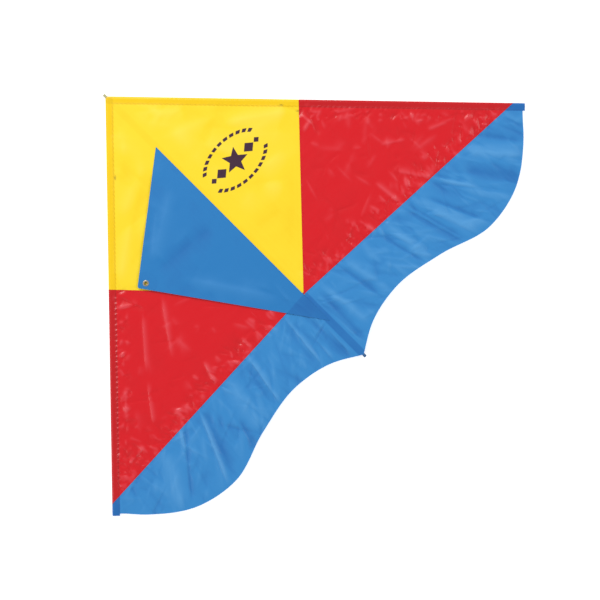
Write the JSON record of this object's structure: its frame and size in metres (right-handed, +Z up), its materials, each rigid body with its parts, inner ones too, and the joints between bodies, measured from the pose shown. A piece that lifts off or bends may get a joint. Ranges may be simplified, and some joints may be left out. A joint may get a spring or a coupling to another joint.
{
  "type": "delta kite",
  "caption": "Triangular film kite with three-colour sail, scalloped trailing edge, folding keel with a grommet, sleeved spine and spars and a snap-in cross spreader.",
  "frame": {"origin": "centre of the bounding box at its underside, which is the surface that the kite lies on", "axes": "+X along the wingspan to the right wing, +Y to the nose, +Z up on the keel side"},
  "size_m": [1.143, 0.725, 0.0127],
  "materials": {
    "yellow_film": "smooth film",
    "red_film": "glossy creased film",
    "blue_film": "semi-gloss creased film",
    "keel_film": "semi-gloss film",
    "glass_fibre": "satin drawn rod",
    "black_vinyl": "soft dipped cap",
    "clear_vinyl": "soft dipped cap, clear vinyl gone yellow",
    "blue_vinyl": "soft dipped cap",
    "black_moulding": "fine moulded texture",
    "grommet_metal": "nickel plated"
  },
  "bodies": {
    "spine": {"spine_rod": "glass_fibre", "nose_cap": "clear_vinyl", "tail_cap": "blue_vinyl", "spine_sleeve_front": "yellow_film", "spine_sleeve_tail": "blue_film"},
    "left_wing": {"left_nose_panel": "yellow_film", "left_wing_panel": "red_film", "left_trailing_panel": "blue_film", "left_spar": "glass_fibre", "left_spar_nose_cap": "black_vinyl", "left_spar_tip_cap": "black_vinyl", "left_connector": "black_moulding"},
    "right_wing": {"right_nose_panel": "yellow_film", "right_wing_panel": "red_film", "right_trailing_panel": "blue_film", "right_spar": "glass_fibre", "right_spar_nose_cap": "black_vinyl", "right_spar_tip_cap": "black_vinyl", "right_connector": "black_moulding"},
    "keel": {"keel_panel": "keel_film", "keel_tab": "keel_film", "grommet_eyelet": "grommet_metal", "grommet_washer": "grommet_metal"},
    "spreader": {"spreader_rod": "glass_fibre", "spreader_tip_left": "black_vinyl", "spreader_tip_right": "black_vinyl"}
  },
  "joints": [
    {"name": "left_wing_fold", "type": "hinge", "parent": "spine", "child": "left_wing", "pos_m": [0, 0.3575, 0.01144], "axis": [0, 1, 0], "range_deg": [0, 43]},
    {"name": "right_wing_fold", "type": "hinge", "parent": "spine", "child": "right_wing", "pos_m": [0, 0.3575, 0.01144], "axis": [0, -1, 0], "range_deg": [0, 43]},
    {"name": "keel_swing", "type": "hinge", "parent": "left_wing", "child": "keel", "pos_m": [0, 0.3575, 0.01194], "axis": [0, 1, 0], "range_deg": [0, 90]},
    {"name": "spreader_pull", "type": "slide", "parent": "spine", "child": "spreader", "axis": [0, 0, -1], "range_m": [0, 0.06]}
  ]
}
